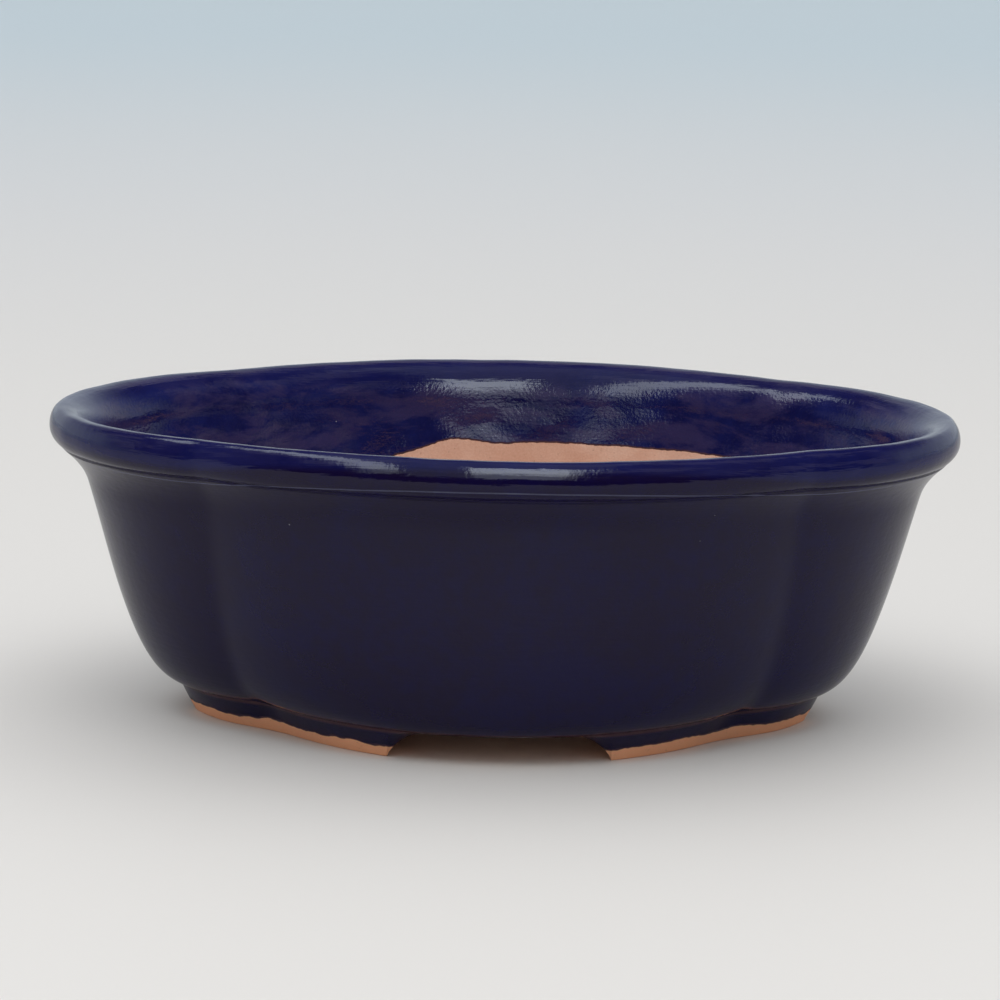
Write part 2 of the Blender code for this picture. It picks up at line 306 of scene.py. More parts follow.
def waves(points, wavelength, seed, count=18):
    """A smooth random value, mostly between -1.5 and 1.5.

    It is the sum of plane sine waves in all directions over the square root of their count.
    """
    random = np.random.default_rng(seed)
    directions = random.normal(size=(count, 3))
    directions /= np.linalg.norm(directions, axis=1, keepdims=True)
    rates = 2 * pi / (wavelength * random.uniform(0.7, 1.5, (count, 1)))
    phases = random.uniform(0, 2 * pi, count)
    return np.sin(points @ (directions * rates).T + phases).sum(axis=-1) / sqrt(count)


def soften_round(grid, width):
    """A Gaussian average round the ring, this many columns wide, done on its Fourier series."""
    rate = 2 * pi * np.fft.rfftfreq(RING)
    fade = np.exp(-((width * rate) ** 2) / 2)
    return np.fft.irfft(np.fft.rfft(grid, axis=0) * fade[:, None, None], n=RING, axis=0)


def soften_section(grid, passes):
    """Each row moves a half of the way to the mean of its two neighbours, this many times."""
    for _ in range(passes):
        middle = (grid[:, :-2] + 2 * grid[:, 1:-1] + grid[:, 2:]) / 4
        grid = np.concatenate([grid[:, :1], middle, grid[:, -1:]], axis=1)
    return grid


def ring_normals(grid):
    """Across the direction round the ring and the direction along the section, of length one."""
    round_ring = np.roll(grid, -1, axis=0) - np.roll(grid, 1, axis=0)
    across = np.cross(round_ring, np.gradient(grid, axis=1))
    return across / np.linalg.norm(across, axis=-1, keepdims=True)


def hand_shaped(grid):
    """Sags the rim's ends, then moves each point along its normal by the pot's own unevenness.

    The sponge's marks fade in over the inner slope of the lip and out at the floor, and the lip
    has small waves of its own.
    """
    high = np.clip((grid[..., 2] - SLAB_EDGE_Z) / (RIM_Z - SLAB_EDGE_Z), 0, 1)
    rows = np.arange(grid.shape[1])
    inside = np.interp(rows, [FROM_LIP - 12, FROM_LIP + 10, LAST - 8, LAST], [0, 1, 1, 0])
    on_lip = np.interp(rows, [FROM_WALL, FROM_WALL + 10, FROM_LIP - 40, FROM_LIP - 20], [0, 1, 1, 0])
    shaped = grid.copy()
    shaped[..., 2] -= RIM_SAG * high * (grid[..., 0] / HALF_LENGTH) ** 2
    shaped[..., 2] -= RIM_WANDER * high * (1 + waves(grid[:, :1], 90 * MM, 3))
    swell = PANEL_SWELL * (waves(grid, 55 * MM, 5) - 1.5)
    swell += LIP_SWELL * on_lip * waves(grid, 16 * MM, 7)
    sponge = SPONGE_BROAD * waves(grid * [1, 1, 1.8], 32 * MM, 11)
    sponge += SPONGE_FINE * waves(grid * [1, 1, 1.5], 13 * MM, 13)
    move = swell * np.minimum(rows / 8, 1) + sponge * inside
    return shaped + ring_normals(grid) * move[..., None]


body = ring_grid(section_outlines, section_z)
body = soften_section(soften_round(body, 2.4), 3)
body = hand_shaped(body)
body_normals = ring_normals(body)
print("body grid:", body.shape, "highest point, mm:", body[..., 2].max() / MM)

# %% [markdown]
# ## Where the glaze ends
#
# The potter pours glaze inside to a little below the rim and leaves the lower inside bare, for
# the roots. Outside, the pot is dipped down to its feet and the feet are wiped. The edge of the
# glaze is therefore a wandering line. It could be painted on a texture, but each point simply
# stores its distance from that line, positive in the glaze, and the material adds the fine
# raggedness.

# %% Distances to the glaze's edge
FAR = 20 * MM
GLAZE_LINE_Z, LEFT_DROP = 76.6 * MM, 6.6 * MM


def bump_at(x, centre, width):
    """A bell of height 1: e to the minus square of the distance over the width."""
    return np.exp(-(((x - centre) / width) ** 2))


def ease(x, start, end):
    """0 before start, 1 after end, and a smooth S between: 3xx - 2xxx."""
    share = np.clip((x - start) / (end - start), 0, 1)
    return share * share * (3 - 2 * share)


def inner_edge_z(points):
    """Height of the glaze's edge inside: level along the back, low at the left, and wandering."""
    x, y = points[..., 0], points[..., 1]
    flat = points * [1, 1, 0]
    back = ease(y, 0.02, 0.06)
    line = GLAZE_LINE_Z - LEFT_DROP * ease(-x, 16 * MM, 50 * MM) * back
    line += back * (1.0 * MM * bump_at(x, -19 * MM, 8 * MM) - 0.5 * MM * bump_at(x, -4 * MM, 7 * MM))
    line += MM * (0.35 + 1.4 * (1 - back)) * waves(flat, 70 * MM, 21)
    return line + 0.2 * MM * waves(flat, 14 * MM, 23)


def lengths(grid):
    """How far along each line of the grid a point lies, round the ring and along the section."""
    round_ring = np.linalg.norm(np.diff(grid, axis=0, append=grid[:1]), axis=-1)
    along = np.linalg.norm(np.diff(grid, axis=1, prepend=grid[:, :1]), axis=-1)
    return np.cumsum(round_ring.mean(axis=1))[:, None] * np.ones_like(along), np.cumsum(along, axis=1)


body_lay = lengths(body)
all_glazed = np.arange(body.shape[1]) < FROM_LIP - 10
body_edge = np.where(all_glazed, FAR, body[..., 2] - inner_edge_z(body))
print("bare clay on the body grid, share:", float((body_edge < 0).mean()))

# %% [markdown]
# ## Meshes from grids
#
# Every piece of the pot is one closed skin: a few grids for the surfaces that show, and plain
# faces where it is luted to its neighbours. Blender can work out smooth normals for one mesh,
# but it can't know that the next piece carries on from it, so a joint would catch the light.
# The grid's own normals are stored on each corner instead, and the glaze runs over the joints
# without a seam, as it does on the fired pot.

# %% The skin of a piece
class Skin:
    """Collects grids of points and faces for one piece, and turns them into an object."""

    def __init__(self):
        self.points, self.values, self.faces, self.normals = [], [], [], []
        self.smooth, self.count = [], 0

    def grid(self, points, edge, toasted=0.0, lay=(0.0, 0.0)):
        """Adds points and what they store, and returns their numbers in the same grid."""
        shape = points.shape[:-1]
        stored = [np.broadcast_to(value, shape).ravel() for value in (edge, toasted, *lay)]
        self.points.append(points.reshape(-1, 3))
        self.values.append(np.stack(stored, axis=-1))
        numbers = self.count + np.arange(len(self.points[-1])).reshape(shape)
        self.count += numbers.size
        return numbers

    def sheet(self, numbers, normals):
        """Smooth faces between neighbouring points of a grid, with the grid's own normals."""
        for grid, store in ((numbers, self.faces), (normals, self.normals)):
            corners = [grid[:-1, :-1], grid[1:, :-1], grid[1:, 1:], grid[:-1, 1:]]
            stacked = np.stack(corners, axis=2)
            store.append(stacked.reshape(-1, *stacked.shape[2:]))
        self.smooth += [True] * len(self.faces[-1])

    def strip(self, first, second):
        """Flat faces that join two lines of points, one pair after another."""
        self.flat(np.stack([first[:-1], first[1:], second[1:], second[:-1]], axis=1))

    def flat(self, faces):
        """Flat faces, whose normals are across two diagonals or, on a triangle, two edges."""
        points = np.concatenate(self.points)[faces]
        across = np.cross(points[:, 2] - points[:, 0], points[:, -1] - points[:, 1])
        size = np.linalg.norm(across, axis=-1, keepdims=True)
        across = across / np.maximum(size, 1e-18)
        self.faces.append(faces)
        self.normals.append(np.repeat(across[:, None], faces.shape[1], axis=1))
        self.smooth += [False] * len(faces)

    def finish(self, name, node, material):
        """The mesh object, which stands for a plain solid and rides on the pot's one body."""
        mesh = bpy.data.meshes.new(name)
        points = np.concatenate(self.points)
        faces = [face for block in self.faces for face in block.tolist()]
        mesh.from_pydata(points.tolist(), [], faces)
        mesh.polygons.foreach_set("use_smooth", self.smooth)
        values = np.concatenate(self.values)
        for column, label in enumerate(("glaze_edge", "toasted")):
            layer = mesh.attributes.new(label, "FLOAT", "POINT")
            layer.data.foreach_set("value", values[:, column].astype(np.float32))
        corners = np.concatenate([block.ravel() for block in self.faces])
        lay = mesh.uv_layers.new(name="lay")
        lay.data.foreach_set("uv", values[corners, 2:4].astype(np.float32).ravel())
        normals = np.concatenate([block.reshape(-1, 3) for block in self.normals])
        mesh.normals_split_custom_set(normals.tolist())
        mesh.materials.append(material)
        obj = bpy.data.objects.new(name, mesh)
        bpy.context.scene.collection.objects.link(obj)
        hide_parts(node)
        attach(obj, "root")
        print(name, "points", len(points), "faces", len(faces))


print("columns and rows to share out:", body.shape[:2], "pieces:", len(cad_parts))

# %% [markdown]
# ## Shader sums as Python sums
#
# A glaze is a sum of many small effects. In the node editor each sum is a chain of Math nodes,
# which is hard to read. The small class below wraps one number of a shader, so that an expression
# such as 1 - mask adds the node by itself. Every other node comes from one method.

# %% A small shader language
class Value:
    """One number that varies over a surface."""

    def __init__(self, shader, socket):
        self.shader, self.socket = shader, socket

    def math(self, operation, *others):
        """A Math node on this number and others."""
        inputs = {index: other for index, other in enumerate((self, *others))}
        return self.shader.node("ShaderNodeMath", {"operation": operation}, inputs)[0]

    def __add__(self, other):
        return self.math("ADD", other)

    def __sub__(self, other):
        return self.math("SUBTRACT", other)

    def __rsub__(self, other):
        return self.shader.node("ShaderNodeMath", {"operation": "SUBTRACT"}, {0: other, 1: self})[0]

    def __mul__(self, other):
        return self.math("MULTIPLY", other)

    __radd__, __rmul__ = __add__, __mul__

    def ramp(self, start, end, low=0.0, high=1.0):
        """A smooth S from low, at start, to high, at end."""
        settings = {"interpolation_type": "SMOOTHSTEP"}
        if start > end:
            start, end, low, high = end, start, high, low
        inputs = {"Value": self, "From Min": start, "From Max": end, "To Min": low, "To Max": high}
        return self.shader.node("ShaderNodeMapRange", settings, inputs)[0]


class Shader:
    """The node tree of a material or of the world, with its first nodes in place."""

    def __init__(self, owner):
        owner.use_nodes = True
        self.tree = owner.node_tree

    def node(self, kind, settings, inputs):
        """Adds a node, sets it up, and fills its sockets. It returns its outputs, wrapped."""
        node = self.tree.nodes.new(kind)
        for name, setting in settings.items():
            setattr(node, name, setting)
        for key, value in inputs.items():
            socket = node.inputs[key]
            if isinstance(value, Value):
                self.tree.links.new(value.socket, socket)
            else:
                socket.default_value = value
        return [Value(self, socket) for socket in node.outputs if socket.enabled]

    def stored(self, name):
        """A number that each point of the mesh stores."""
        kinds = {"attribute_name": name, "attribute_type": "GEOMETRY"}
        outputs = self.node("ShaderNodeAttribute", kinds, {})
        return next(output for output in outputs if output.socket.name == "Fac")

    def place(self):
        """The point's place on the object, in metres."""
        outputs = self.node("ShaderNodeTexCoord", {}, {})
        return next(output for output in outputs if output.socket.name == "Object")

    def rays(self):
        """Which kind of ray this is, as one number for each kind, by name."""
        outputs = self.node("ShaderNodeLightPath", {}, {})
        return {output.socket.name: output for output in outputs}

    def stretched(self, vector, scale):
        """A vector times another, part by part."""
        inputs = {0: vector, 1: scale}
        return self.node("ShaderNodeVectorMath", {"operation": "MULTIPLY"}, inputs)[0]

    def tinted(self, colour, level):
        """A colour, brightened or dimmed evenly."""
        inputs = {0: colour, "Scale": level}
        return self.node("ShaderNodeVectorMath", {"operation": "SCALE"}, inputs)[0]

    def added(self, first, second):
        """The sum of two colours."""
        return self.node("ShaderNodeVectorMath", {"operation": "ADD"}, {0: first, 1: second})[0]

    def noise(self, vector, size, detail=2.0, rough=0.5, warp=0.0):
        """Cloudy noise between 0 and 1, whose features are about this many metres across."""
        inputs = {"Vector": vector, "Scale": 1 / size, "Detail": detail}
        inputs.update({"Roughness": rough, "Distortion": warp})
        return self.node("ShaderNodeTexNoise", {}, inputs)[0]

    def blend(self, share, first, second):
        """A colour between two colours."""
        pair = [colour if isinstance(colour, Value) else (*colour, 1.0) for colour in (first, second)]
        settings = {"data_type": "RGBA", "blend_type": "MIX"}
        return self.node("ShaderNodeMix", settings, {0: share, 6: pair[0], 7: pair[1]})[0]


print("reflected operators:", [name for name in vars(Value) if name.startswith("__r")])

# %% [markdown]
# ## Cobalt glaze over orange clay
#
# The glaze is a glassy cobalt: blue on the lip, with purple patches inside that are painted reflections,
# a darker plum outside that is painted shade, a painted highlight along the bead under the lip, and
# brown over the joint with the feet and at its own edge.
# These could be several materials with hard borders, but a glaze ends in a soft rounded bank, so
# one material holds it all. The borders are lengths along the section, counted from the foot.

# %% Colours and borders
COBALT_DEEP = (0.0045, 0.0050, 0.060)
COBALT_BRIGHT = (0.0085, 0.0135, 0.108)
# Purple-grey of the patches inside: a painted reflection of the room.
PAINTED_REFLECTION_PURPLE = (0.034, 0.028, 0.100)
# Darker, less blue plums for the outside: painted shade.
PAINTED_SHADE_PLUM = (0.0065, 0.0028, 0.027)
PAINTED_SHADE_PLUM_BLUE = (0.0045, 0.0026, 0.040)
BREAK_BROWN = (0.085, 0.036, 0.038)
# Pale blue of the line along the bead: a painted highlight.
PAINTED_BEAD_HIGHLIGHT = (0.075, 0.080, 0.140)
CLAY_LIGHT = (0.78, 0.54, 0.42)
CLAY_ORANGE = (0.67, 0.40, 0.29)
CLAY_TOASTED = (0.88, 0.42, 0.225)
GROG_DARK, GROG_LIGHT = (0.30, 0.16, 0.10), (0.78, 0.58, 0.45)
SPECK_PALE = (0.42, 0.42, 0.48)
SPECK = 0.026
GLAZE_IOR = 1.42
section_marks = body_lay[1].mean(axis=0)
LIP_MIDDLE = float(section_marks[np.abs(section_z - WIDEST_Z).argmin()])
INSIDE_FROM = float(section_marks[FROM_LIP - 22])
BEAD_FROM = float(section_marks[FROM_WALL + LEDGE_ROWS + BEAD_ROWS // 2])
BEAD_TO = float(section_marks[FROM_WALL + LEDGE_ROWS + BEAD_ROWS])
print("bead, widest line and inside, mm:", [m / MM for m in (BEAD_FROM, LIP_MIDDLE, INSIDE_FROM)])

# %% [markdown]
# ## Shares over the surface
#
# On the pot, pouring, dipping and wiping decide where there is glaze. Such masks could be painted
# by hand. Here they are shares from 0 to 1, worked out from the stored distance to the glaze's edge
# and the length along the section, so that they run on from piece to piece.

# %% Shares and noises
def surface_values(shader):
    """What the glaze and the clay are both mixed by.

    The glaze's edge wanders by half a millimetre, and its bank is under a millimetre wide.
    """
    place = shader.place()
    lay = shader.node("ShaderNodeUVMap", {"uv_map": "lay"}, {})[0]
    section = shader.node("ShaderNodeSeparateXYZ", {}, {0: lay})[1]
    ragged = (shader.noise(place, 2.6 * MM, 3.0) - 0.5) * (1.1 * MM)
    inland = shader.stored("glaze_edge") + ragged
    return SimpleNamespace(
        place=place,
        section=section,
        glazed=inland.ramp(-0.12 * MM, 0.12 * MM),
        bank=inland.ramp(-0.1 * MM, 0.7 * MM),
        thin_edge=inland.ramp(0.9 * MM, 0.1 * MM),
        inside=section.ramp(INSIDE_FROM, INSIDE_FROM + 5 * MM),
        outside=section.ramp(LIP_MIDDLE + 1.0 * MM, LIP_MIDDLE - 2.0 * MM),
        cloud=shader.noise(place, 38 * MM, 4.0, 0.55, 0.6),
        fine_cloud=shader.noise(place, 5 * MM, 3.0),
        grain=shader.noise(place, 0.7 * MM, 2.0, 0.6),
        grog=shader.noise(place, 1.5 * MM, 3.0, 0.7),
    )


def specks(shader, place):
    """Pale specks and pinholes: the middles of a few scattered cells."""
    cells = shader.node("ShaderNodeTexVoronoi", {}, {"Vector": place, "Scale": 1 / (10 * MM)})
    size = shader.noise(place, 7 * MM, 0.0).ramp(0.52, 0.75)
    return (1 - cells[0].ramp(SPECK / 2, SPECK)) * size


# %% [markdown]
# ## Two colours
#
# A cobalt glaze is brighter where it lies thick. The bare clay is an orange stoneware with grog in
# it, toasted at the feet. Each could be one flat colour, but would look like plastic, so each is a
# stack of blends.

# %% Colours of glaze and clay
def glaze_colour(shader, at, speck):
    """Thick glaze, painted reflections as purple patches, painted shade as plum outside, a painted
    highlight on the bead, brown at the joint and the edge.
    """
    thick = (at.cloud * 0.75 + at.fine_cloud * 0.25).ramp(0.35, 0.68)
    glaze = shader.blend(thick * (at.inside * 0.6 + 0.4), COBALT_DEEP, COBALT_BRIGHT)
    # Purple-grey patches, mostly inside: painted reflections of the room in the glaze.
    patches = shader.noise(shader.stretched(at.place, (0.5, 0.5, 1.5)), 16 * MM, 6.0, 0.70, 0.3)
    painted_reflection = patches.ramp(0.42, 0.58) * (at.inside * 0.72 + 0.15)
    glaze = shader.blend(painted_reflection, glaze, PAINTED_REFLECTION_PURPLE)

    # Below the lip's widest line the glaze is a darker, less blue plum: painted shade of the outside,
    # which faces down under the lip.
    shaded_plum = shader.blend((at.cloud * 0.6 + at.fine_cloud * 0.4).ramp(0.38, 0.66), PAINTED_SHADE_PLUM, PAINTED_SHADE_PLUM_BLUE)
    glaze = shader.blend(at.outside, glaze, shaded_plum)
    # A pale blue line along the bead under the lip: a painted highlight.
    past_bead = at.section.ramp(BEAD_TO + 0.3 * MM, BEAD_TO)
    bead_highlight = at.section.ramp(BEAD_FROM, BEAD_FROM + 0.3 * MM) * past_bead
    glaze = shader.blend(bead_highlight * (at.fine_cloud * 0.7 + 0.45), glaze, PAINTED_BEAD_HIGHLIGHT)

    height = shader.node("ShaderNodeSeparateXYZ", {}, {0: at.place})[2]
    under_joint = height.ramp(FOOT_Z - 1.5 * MM, FOOT_Z - 0.2 * MM)
    over_joint = height.ramp(FOOT_Z + 1.3 * MM, FOOT_Z + 0.2 * MM)
    breaking = under_joint * over_joint * (at.fine_cloud * 0.6 + 0.4)
    glaze = shader.blend(breaking, glaze, BREAK_BROWN)
    glaze = shader.blend(at.thin_edge * 0.8, glaze, BREAK_BROWN)
    return shader.blend(speck * 0.8, glaze, SPECK_PALE)


def clay_colour(shader, at):
    """A fine grain, a toasted tone at the feet, and dark and light grog."""
    patch = shader.noise(at.place, 18 * MM, 3.0)
    clay = shader.blend((patch * 0.6 + at.grain * 0.4).ramp(0.3, 0.7), CLAY_ORANGE, CLAY_LIGHT)
    clay = shader.blend(shader.stored("toasted") * (patch * 0.4 + 0.7), clay, CLAY_TOASTED)
    clay = shader.blend(at.grog.ramp(0.62, 0.75) * 0.55, clay, GROG_DARK)
    return shader.blend(at.grog.ramp(0.36, 0.27) * 0.5, clay, GROG_LIGHT)


# %% [markdown]
# ## Relief, and the whole surface
#
# Glaze has an orange peel, fine pits, and streaks where it was drawn along the lip. Clay has grain
# and grog. Most of it is shallower than a tenth of a millimetre. It could be displacement, but that
# would take millions of faces, so it is a bump: a height in metres that only turns the normal.

# %% The fired surface
def relief(shader, at, speck):
    """Peel, pits, streaks and pinholes on glaze, grain and grog on clay, and the bank between."""
    peel = (shader.noise(at.place, 3.2 * MM, 1.5) - 0.5) * (0.06 * MM)
    pits = (shader.noise(at.place, 1.1 * MM, 2.0) - 0.5) * (at.inside * (0.09 * MM) + 0.03 * MM)
    drawn_out = shader.stretched(at.place, (0.07, 0.07, 0.0))
    x, y, _ = shader.node("ShaderNodeSeparateXYZ", {}, {0: drawn_out})
    streaks = shader.node("ShaderNodeCombineXYZ", {}, {0: x, 1: y, 2: at.section})[0]
    drawn = shader.noise(streaks, 1.0 * MM, 2.0)
    drawn_depth = (1 - at.outside) * (1 - at.inside) * (0.07 * MM) + 0.05 * MM
    glaze = peel + pits + (drawn - 0.5) * drawn_depth - speck * (0.04 * MM)
    clay = (at.grain - 0.5) * (0.07 * MM) + (at.grog - 0.5) * (0.12 * MM)
    return at.glazed * glaze + (1 - at.glazed) * clay + at.bank * (0.35 * MM)


def fired_surface():
    """One material for the glaze and the clay under it."""
    material = bpy.data.materials.new("cobalt_glaze_on_clay")
    shader = Shader(material)
    at = surface_values(shader)
    speck = specks(shader, at.place)
    colour = shader.blend(at.glazed, clay_colour(shader, at), glaze_colour(shader, at, speck))
    glaze_roughness, clay_roughness = at.fine_cloud * 0.05 + 0.055, at.grain * 0.2 + 0.72
    roughness = at.glazed * glaze_roughness + (1 - at.glazed) * clay_roughness
    bump = {"Strength": 1.0, "Distance": 1.0, "Height": relief(shader, at, speck)}
    normal = shader.node("ShaderNodeBump", {}, bump)[0]
    principled = shader.tree.nodes["Principled BSDF"]
    for name, value in (("Base Color", colour), ("Roughness", roughness), ("Normal", normal)):
        shader.tree.links.new(value.socket, principled.inputs[name])
    principled.inputs["IOR"].default_value = GLAZE_IOR
    material.diffuse_color = (*COBALT_BRIGHT, 1.0)
    return material


fired = fired_surface()
print("nodes in the fired surface:", len(fired.node_tree.nodes))

# %% [markdown]
# ## Wall panels
#
# A wall panel is a slab of clay bent round one lobe of the template and leaned outwards. It shows
# an outer and an inner face. Its foot, its top and its two ends are luted to other pieces, so they
# are closed with plain faces that nobody sees.

# %% Four wall panels
SIDES = ("front", "right", "back", "left")


def lobe_columns(lobe):
    """The columns of one lobe, from notch to notch, with both notches."""
    return np.arange(lobe * LOBE, (lobe + 1) * LOBE + 1) % RING


def body_patch(skin, columns, first_row, last_row):
    """Adds a stretch of the body grid to a skin, and returns the numbers of its points."""
    part = np.ix_(columns, np.arange(first_row, last_row + 1))
    lay = (body_lay[0][part], body_lay[1][part])
    numbers = skin.grid(body[part], body_edge[part], 0.0, lay)
    skin.sheet(numbers, body_normals[part])
    return numbers


def wall_panel(lobe):
    """The outer and inner face of one panel, and four plain faces round its edge."""
    skin = Skin()
    outside = body_patch(skin, lobe_columns(lobe), FROM_SLAB, FROM_WALL)
    inside = body_patch(skin, lobe_columns(lobe), FROM_LIP, FROM_INSIDE)
    skin.strip(outside[:, -1], inside[:, 0])
    skin.strip(inside[:, -1], outside[:, 0])
    skin.strip(inside[0, ::-1], outside[0])
    skin.strip(outside[-1], inside[-1, ::-1])
    skin.finish(f"panel_{SIDES[lobe]}", f"wall_{SIDES[lobe]}", fired)


for lobe in range(4):
    wall_panel(lobe)

# %% [markdown]
# ## Lip strips
#
# The lip is a strip of clay rolled over the top of each panel. A curve with a bevel could carry its
# section round, but its ends would not meet the panels' grid. So its skin is the stretch of the
# body's grid from the top of the wall's outer face, over the ledge, the bead and the roll, to the
# top of the inner face. Plain faces close it below and at its ends.

# %% Four lip strips
def lip_strip(lobe):
    """One strip of the lip. Its section has an odd number of points."""
    skin = Skin()
    roll = body_patch(skin, lobe_columns(lobe), FROM_WALL, FROM_LIP)
    skin.strip(roll[:, -1], roll[:, 0])
    half = roll.shape[1] // 2
    skin.strip(roll[0, ::-1][:half], roll[0, :half])
    skin.strip(roll[-1, :half], roll[-1, ::-1][:half])
    skin.flat(roll[:1, [half - 1, half + 1, half]])
    skin.flat(roll[-1:, [half - 1, half, half + 1]])
    skin.finish(f"lip_roll_{SIDES[lobe]}", f"lip_{SIDES[lobe]}", fired)


for lobe in range(4):
    lip_strip(lobe)

# %% [markdown]
# ## The floor slab
#
# The floor is a slab cut to the smallest outline, with two large holes for water and four small
# ones for the wires that anchor a tree. Holes could be cut with Boolean modifiers, but a Boolean
# would throw away the stored normals of the edge that carries on into the walls. Each hole is
# instead a small turned grid with rounded mouths, and the level faces between the holes and the
# edge are filled as flat polygons with holes in them. Under the pot, a band of the slab is a level
# grid, because the glaze has crept in under its edge there.

# %% Floor slab with its holes
HOLES = [(-47 * MM, 0, 11 * MM), (47 * MM, 0, 11 * MM)]
HOLES += [(x * 25 * MM, y * 30 * MM, 2.5 * MM) for x in (-1, 1) for y in (-1, 1)]


def hole_grid(x, y, radius):
    """A hole's wall as a grid: round its axis, and from the top mouth down to the bottom one.

    Its profile is straight between two quarter rounds, and the ring is a little out of true.
    """
    mouth = min(0.9 * MM, radius * 0.3)
    turn = np.linspace(0, pi / 2, 6)
    middle = np.linspace(FLOOR_Z - mouth, FOOT_Z + mouth, 6)[1:-1]
    z = np.concatenate([
        FLOOR_Z - mouth * (1 - np.cos(turn)), middle, FOOT_Z + mouth * (1 - np.cos(turn[::-1]))
    ])
    wide = np.concatenate([mouth * (1 - np.sin(turn)), middle * 0, mouth * (1 - np.sin(turn[::-1]))])
    angle = np.linspace(0, 2 * pi, 73)[:, None]
    out = 1 + 0.012 * np.sin(2 * angle + x * 90) + 0.008 * np.sin(3 * angle + 1)
    r = radius * out + wide
    round_x, round_y = x + r * np.cos(angle), y + r * np.sin(angle)
    return np.stack([round_x, round_y, np.broadcast_to(z, r.shape)], axis=-1)


def grid_normals(points):
    """Across the two directions of an open grid, of length one."""
    across = np.cross(np.gradient(points, axis=0), np.gradient(points, axis=1))
    return across / np.maximum(np.linalg.norm(across, axis=-1, keepdims=True), 1e-18)


def fill_level(skin, loops, points, up):
    """Fills the level between the first loop and the others, which are holes in it."""
    polygons = [[Vector(point) for point in points[loop]] for loop in loops]
    numbers = np.concatenate(loops)
    faces = numbers[np.array(tessellate_polygon(polygons))]
    corners = points[faces]
    turn = np.cross(corners[:, 1] - corners[:, 0], corners[:, 2] - corners[:, 0])[:, 2]
    flipped = (turn > 0) != up
    faces[flipped] = faces[flipped][:, ::-1]
    skin.flat(faces[np.abs(turn) > 0])


def underside():
    """The outer band of the underside as a level grid, from its bare middle out to the rolled edge,
    and each point's distance to the glaze's edge, which stops a little way in."""
    inset = np.array([8.0, 5.0, 3.0, 2.0, 1.0, 0.3, -0.5]) * MM
    points = ring_grid(BASE_LINE + inset[:, None] * SET_IN, np.full(len(inset), FOOT_Z))
    return points, 1.4 * MM - inset + 0.6 * MM * waves(points, 20 * MM, 35)


def slab():
    """The floor: underside, rolled edge, the rise to the walls, the holes and two level faces."""
    skin = Skin()
    ring = np.arange(RING + 1) % RING
    under_points, under_edge = underside()
    under = skin.grid(under_points, under_edge)
    skin.sheet(under[ring], np.broadcast_to([0.0, 0.0, -1.0], under_points[ring].shape))
    edge = body_patch(skin, np.arange(RING), 0, FROM_SLAB)
    skin.strip(under[ring, -1], edge[ring, 0])
    rise = body_patch(skin, np.arange(RING), FROM_INSIDE, LAST)
    seam_normals = body_normals[[-1, 0]]
    for numbers, part in ((edge, slice(0, FROM_SLAB + 1)), (rise, slice(FROM_INSIDE, LAST + 1))):
        skin.sheet(numbers[[-1, 0]], seam_normals[:, part])
    skin.strip(edge[ring, -1], rise[ring, 0])
    tops, bottoms = [rise[:, -1]], [under[:, 0]]
    for x, y, radius in HOLES:
        points = hole_grid(x, y, radius)
        numbers = skin.grid(points[:-1], -FAR)
        wrapped = np.concatenate([numbers, numbers[:1]])
        normals = grid_normals(points)
        normals[0] = normals[-1] = (normals[0] + normals[-1]) / 2
        skin.sheet(wrapped, normals)
        tops.append(numbers[:, 0])
        bottoms.append(numbers[:, -1])
    points = np.concatenate(skin.points)
    fill_level(skin, tops, points, True)
    fill_level(skin, bottoms, points, False)
    skin.finish("floor", "floor_slab", fired)


slab()

# %% [markdown]
# ## Feet
#
# The four feet are what is left of one ring of clay when two arches are cut straight through it
# with a wire, and a damp finger has rounded the notch between a foot's two wings. A Boolean could
# cut them. Here each column of the foot's grid simply ends where the arch does, because a column
# keeps one x under a side arch and one y under an end arch. Then the columns between the two tips
# are averaged, a little where the foot meets the body and a lot near the ground.

# %% Four feet
SIDE_ARCH, SIDE_SHOULDER = 36.75 * MM, 19.5 * MM
END_ARCH, END_SHOULDER = 12 * MM, 10.5 * MM
SPRING = radians(15)
ARCH_RISE = (FOOT_Z + 0.6 * MM) / (1 - sin(SPRING))
FOOT_SET_IN = 3.4 * MM
FOOT_WIDTH = 14 * MM
FOOT_EDGE = 0.9 * MM
OUTER_ROWS, TURN_ROWS = 14, 5
TIP_COLUMNS, NOTCH_COLUMNS = 26, 60
SOFT_TOP, SOFT_GROUND = 8, 240
WIPED_Z = 4.1 * MM


def foot_section():
    """The foot's section as depth and height, down the outside, across the sole and up inside."""
    down = np.linspace(0, 1, OUTER_ROWS)
    turn = np.linspace(0, pi / 2, TURN_ROWS + 1)[1:]
    across = np.linspace(0, 1, 12)[1:-1]
    inner = FOOT_SET_IN + FOOT_WIDTH
    depth = np.concatenate([
        FOOT_TOP_SET_IN + (FOOT_SET_IN - FOOT_TOP_SET_IN) * down**1.15,
        FOOT_SET_IN + FOOT_EDGE * (1 - np.cos(turn)),
        FOOT_SET_IN + FOOT_EDGE + (FOOT_WIDTH - 2 * FOOT_EDGE) * across,
        inner - FOOT_EDGE + FOOT_EDGE * np.sin(turn - turn[0]),
        np.full(8, inner),
    ])
    z = np.concatenate([
        FOOT_Z - (FOOT_Z - FOOT_EDGE) * down,
        FOOT_EDGE * (1 - np.sin(turn)),
        np.zeros(len(across)),
        FOOT_EDGE * (1 - np.cos(turn - turn[0])),
        np.linspace(FOOT_EDGE, FOOT_Z, 9)[1:],
    ])
    return depth, z


